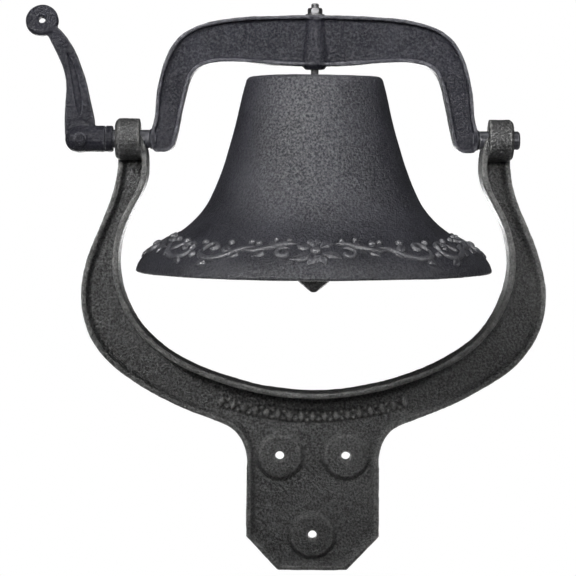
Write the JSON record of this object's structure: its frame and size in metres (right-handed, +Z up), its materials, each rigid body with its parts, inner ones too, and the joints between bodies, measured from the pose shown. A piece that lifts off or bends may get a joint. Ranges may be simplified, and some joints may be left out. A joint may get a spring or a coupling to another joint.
{
  "type": "yard dinner bell",
  "caption": "Cast iron dinner bell on a swinging yoke with a crank arm for a pull rope, in a ring-shaped bracket whose plate bolts flat to a post.",
  "frame": {"origin": "on the bracket's flat back face, in the middle of its three mounting holes", "axes": "+Y back into the post, +Z up, +X to the right as one faces the bell; the trunnion axis is parallel to X, 18 mm in front of the back face and 308 mm above the origin"},
  "size_m": [0.4476, 0.3048, 0.4895],
  "materials": {
    "bracket_iron": "satin black paint over sand-cast skin",
    "yoke_iron": "satin black paint over sand-cast skin",
    "bell_iron": "satin black paint over sand-cast skin",
    "clapper_iron": "satin black paint",
    "dark_steel": "satin black paint",
    "fastener_steel": "black oxide"
  },
  "bodies": {
    "bracket": {"bracket": "bracket_iron"},
    "yoke": {"yoke": "yoke_iron", "left_spindle": "dark_steel", "right_pivot_pin": "dark_steel", "left_roll_pin": "dark_steel", "right_roll_pin": "dark_steel", "spindle_collar": "yoke_iron", "crank_arm": "yoke_iron", "crank_cross_pin": "dark_steel", "bell_bolt": "fastener_steel", "top_washer": "fastener_steel", "top_nut": "fastener_steel", "crown_washer": "fastener_steel", "crown_nut": "fastener_steel", "crown_lock_nut": "fastener_steel", "clapper_pin": "fastener_steel", "clapper_cotter": "fastener_steel"},
    "bell": {"bell": "bell_iron"},
    "clapper": {"clapper": "clapper_iron"}
  },
  "joints": [
    {"name": "yoke_swing", "type": "hinge", "parent": "bracket", "child": "yoke", "pos_m": [0, -0.018, 0.308], "axis": [1, 0, 0], "range_deg": [-85, 85]},
    {"name": "bell_turn", "type": "hinge", "parent": "yoke", "child": "bell", "pos_m": [0, -0.018, 0.3533], "axis": [0, 0, 1], "continuous": true},
    {"name": "clapper_swing", "type": "hinge", "parent": "yoke", "child": "clapper", "pos_m": [0, -0.018, 0.324], "axis": [1, 0, 0], "range_deg": [-39.5, 39.5]}
  ]
}
